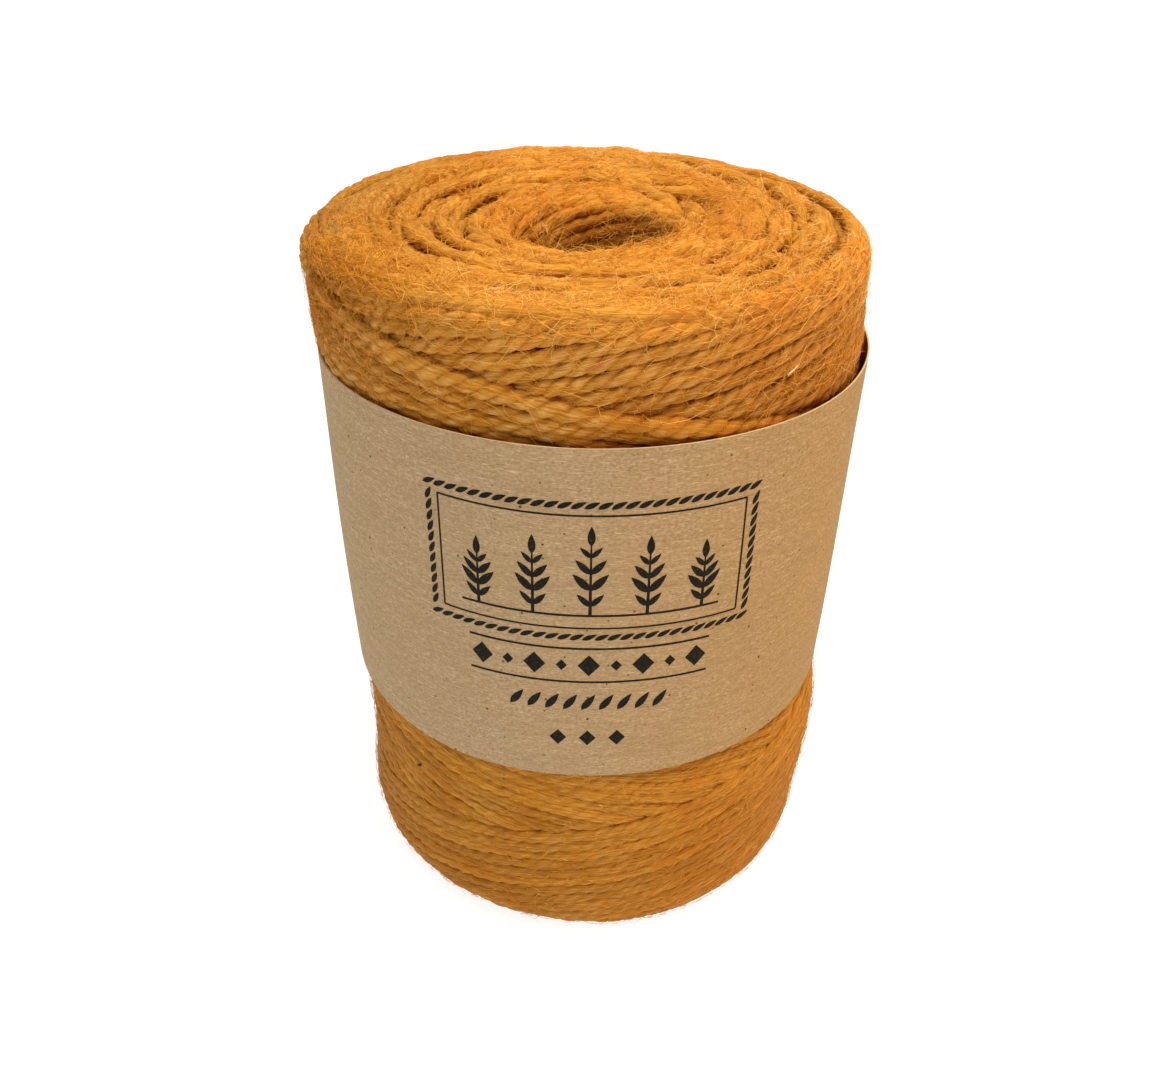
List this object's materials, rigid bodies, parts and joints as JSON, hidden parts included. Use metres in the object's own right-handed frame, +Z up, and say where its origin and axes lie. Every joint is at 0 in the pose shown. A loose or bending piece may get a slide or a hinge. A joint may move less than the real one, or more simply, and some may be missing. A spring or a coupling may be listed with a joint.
{
  "type": "roll of jute twine with paper band",
  "caption": "Cross-wound cylindrical roll of natural jute twine, open through its core, with a plain kraft paper band round its middle.",
  "frame": {"origin": "middle of the flat base that the roll stands on", "axes": "+Z up along the core, +X to the right and -Y to the front, where the last layer of twine crosses above the band; the band's glued lap is at the back"},
  "size_m": [0.098, 0.0968, 0.1282],
  "materials": {
    "jute_twine": "three-ply jute twine, spun and cross-wound, hairy, golden orange-brown",
    "kraft_paper": "uncoated brown kraft paper, matt, with fine fibres and specks"
  },
  "bodies": {
    "root": {"twine_roll": "jute_twine", "paper_band": "kraft_paper"}
  },
  "joints": []
}
